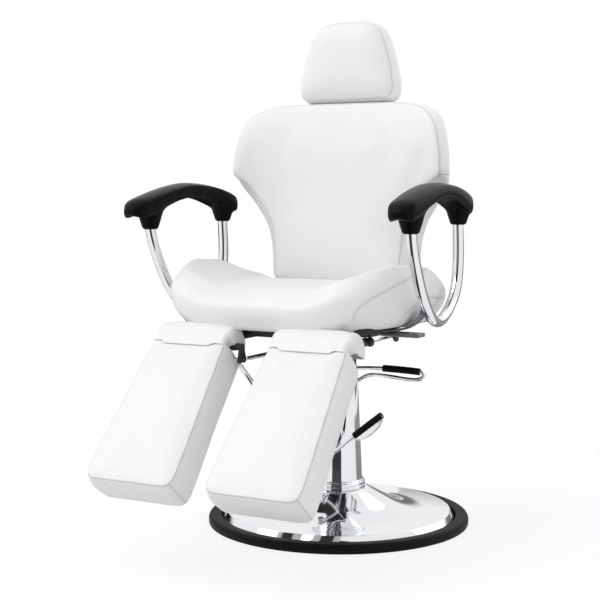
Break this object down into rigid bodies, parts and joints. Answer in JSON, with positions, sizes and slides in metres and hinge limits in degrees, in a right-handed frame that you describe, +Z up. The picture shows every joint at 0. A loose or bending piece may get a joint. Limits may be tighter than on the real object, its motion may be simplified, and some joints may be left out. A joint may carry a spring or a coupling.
{
  "type": "salon chair",
  "caption": "White upholstered salon chair on a round chromed hydraulic base, with a reclining winged back, sliding headrest, padded arms and separate raising leg rests.",
  "frame": {"origin": "on the floor, on the column's axis", "axes": "+Z up, the sitter faces -Y, the sitter's left is +X"},
  "size_m": [0.711, 0.9875, 1.2154],
  "materials": {
    "leather_white": "smooth off-white upholstery leather over foam",
    "pu_black": "semi-gloss black moulded polyurethane skin",
    "rubber_black": "matt black rubber",
    "chrome": "mirror chrome plate",
    "painted_black": "black painted steel",
    "steel_grey": "zinc-grey steel",
    "steel_ground": "ground steel",
    "board_black": "plywood under black lining cloth",
    "plastic_black": "black moulded plastic"
  },
  "bodies": {
    "base": {"base_ring": "rubber_black", "base_plate": "steel_grey", "base_dish": "chrome", "pump_body": "steel_grey", "column_cover": "chrome", "column_collar": "chrome", "pump_head": "painted_black", "pedal_clamp": "chrome", "brake_clamp": "chrome"},
    "pedal": {"pump_pedal": "chrome", "pedal_grip": "rubber_black"},
    "brake": {"brake_lever": "chrome", "brake_grip": "rubber_black"},
    "piston": {"lift_piston": "steel_ground", "thrust_bearing": "steel_ground"},
    "seat": {"swivel_hub": "painted_black", "left_rail": "painted_black", "right_rail": "painted_black", "front_cross_tube": "painted_black", "rear_cross_tube": "painted_black", "left_back_pin": "steel_ground", "right_back_pin": "steel_ground", "seat_board": "board_black", "seat_cushion": "leather_white", "recline_cylinder": "painted_black", "left_ratchet_guide": "painted_black", "right_ratchet_guide": "painted_black"},
    "back": {"back_cushion": "leather_white", "back_board": "board_black", "left_back_arm": "painted_black", "right_back_arm": "painted_black", "headrest_socket": "plastic_black"},
    "headrest": {"headrest_cushion": "leather_white", "headrest_board": "board_black", "headrest_bar": "chrome"},
    "spring_rod": {"recline_rod": "chrome"},
    "left_leg": {"left_leg_cushion": "leather_white", "left_leg_flap": "leather_white", "left_leg_frame": "painted_black"},
    "right_leg": {"right_leg_cushion": "leather_white", "right_leg_flap": "leather_white", "right_leg_frame": "painted_black"},
    "left_release": {"left_release_lever": "chrome"},
    "right_release": {"right_release_lever": "chrome"},
    "left_bar": {"left_ratchet_bar": "chrome"},
    "right_bar": {"right_ratchet_bar": "chrome"},
    "left_arm": {"left_arm_loop": "chrome", "left_arm_pad": "pu_black", "left_arm_strap": "steel_grey"},
    "right_arm": {"right_arm_loop": "chrome", "right_arm_pad": "pu_black", "right_arm_strap": "steel_grey"},
    "left_knob": {"left_arm_knob": "plastic_black"},
    "right_knob": {"right_arm_knob": "plastic_black"}
  },
  "joints": [
    {"name": "pedal_stroke", "type": "hinge", "parent": "base", "child": "pedal", "pos_m": [-0.02, -0.074, 0.146], "axis": [0, 1, 0], "range_deg": [0, 28], "stiffness_Nm_per_rad": 5, "springref_deg": -20.05},
    {"name": "swivel_brake", "type": "hinge", "parent": "base", "child": "brake", "pos_m": [0.01, -0.074, 0.36], "axis": [0, 1, 0], "range_deg": [0, 12]},
    {"name": "lift", "type": "slide", "parent": "base", "child": "piston", "axis": [0, 0, 1], "range_m": [0, 0.14]},
    {"name": "swivel", "type": "hinge", "parent": "piston", "child": "seat", "pos_m": [0, 0, 0.4249], "axis": [0, 0, 1], "continuous": true},
    {"name": "recline", "type": "hinge", "parent": "seat", "child": "back", "pos_m": [0, 0.112, 0.492], "axis": [-1, 0, 0], "range_deg": [0, 72]},
    {"name": "headrest_height", "type": "slide", "parent": "back", "child": "headrest", "axis": [0, 0.0698, 0.9976], "range_m": [0, 0.08]},
    {"name": "spring_stroke", "type": "slide", "parent": "seat", "child": "spring_rod", "axis": [0, -1, 0], "range_m": [0, 0.0692]},
    {"name": "left_leg_raise", "type": "hinge", "parent": "seat", "child": "left_leg", "pos_m": [0, -0.392, 0.4665], "axis": [-1, 0, 0], "range_deg": [-15, 48]},
    {"name": "left_bar_stroke", "type": "slide", "parent": "seat", "child": "left_bar", "axis": [0, -1, 0], "range_m": [-0.00695, 0.0223]},
    {"name": "left_release_pull", "type": "hinge", "parent": "left_leg", "child": "left_release", "pos_m": [0.0473, -0.4008, 0.4368], "axis": [1, 0, 0], "range_deg": [0, 14], "stiffness_Nm_per_rad": 0.6, "springref_deg": -20.05},
    {"name": "left_arm_width", "type": "slide", "parent": "seat", "child": "left_arm", "axis": [1, 0, 0], "range_m": [0, 0.035]},
    {"name": "left_knob_turn", "type": "hinge", "parent": "seat", "child": "left_knob", "pos_m": [0.178, -0.195, 0.48], "axis": [0, 0, 1], "continuous": true},
    {"name": "right_leg_raise", "type": "hinge", "parent": "seat", "child": "right_leg", "pos_m": [0, -0.392, 0.4665], "axis": [-1, 0, 0], "range_deg": [-15, 48]},
    {"name": "right_bar_stroke", "type": "slide", "parent": "seat", "child": "right_bar", "axis": [0, -1, 0], "range_m": [-0.00695, 0.0223]},
    {"name": "right_release_pull", "type": "hinge", "parent": "right_leg", "child": "right_release", "pos_m": [-0.0473, -0.4008, 0.4368], "axis": [1, 0, 0], "range_deg": [0, 14], "stiffness_Nm_per_rad": 0.6, "springref_deg": -20.05},
    {"name": "right_arm_width", "type": "slide", "parent": "seat", "child": "right_arm", "axis": [-1, 0, 0], "range_m": [0, 0.035]},
    {"name": "right_knob_turn", "type": "hinge", "parent": "seat", "child": "right_knob", "pos_m": [-0.178, -0.195, 0.48], "axis": [0, 0, 1], "continuous": true}
  ],
  "couplings": [
    {"joint": "spring_stroke", "follows": "recline", "m_per_rad": 0.055},
    {"joint": "left_bar_stroke", "follows": "left_leg_raise", "m_per_rad": 0.0265},
    {"joint": "right_bar_stroke", "follows": "right_leg_raise", "m_per_rad": 0.0265}
  ]
}
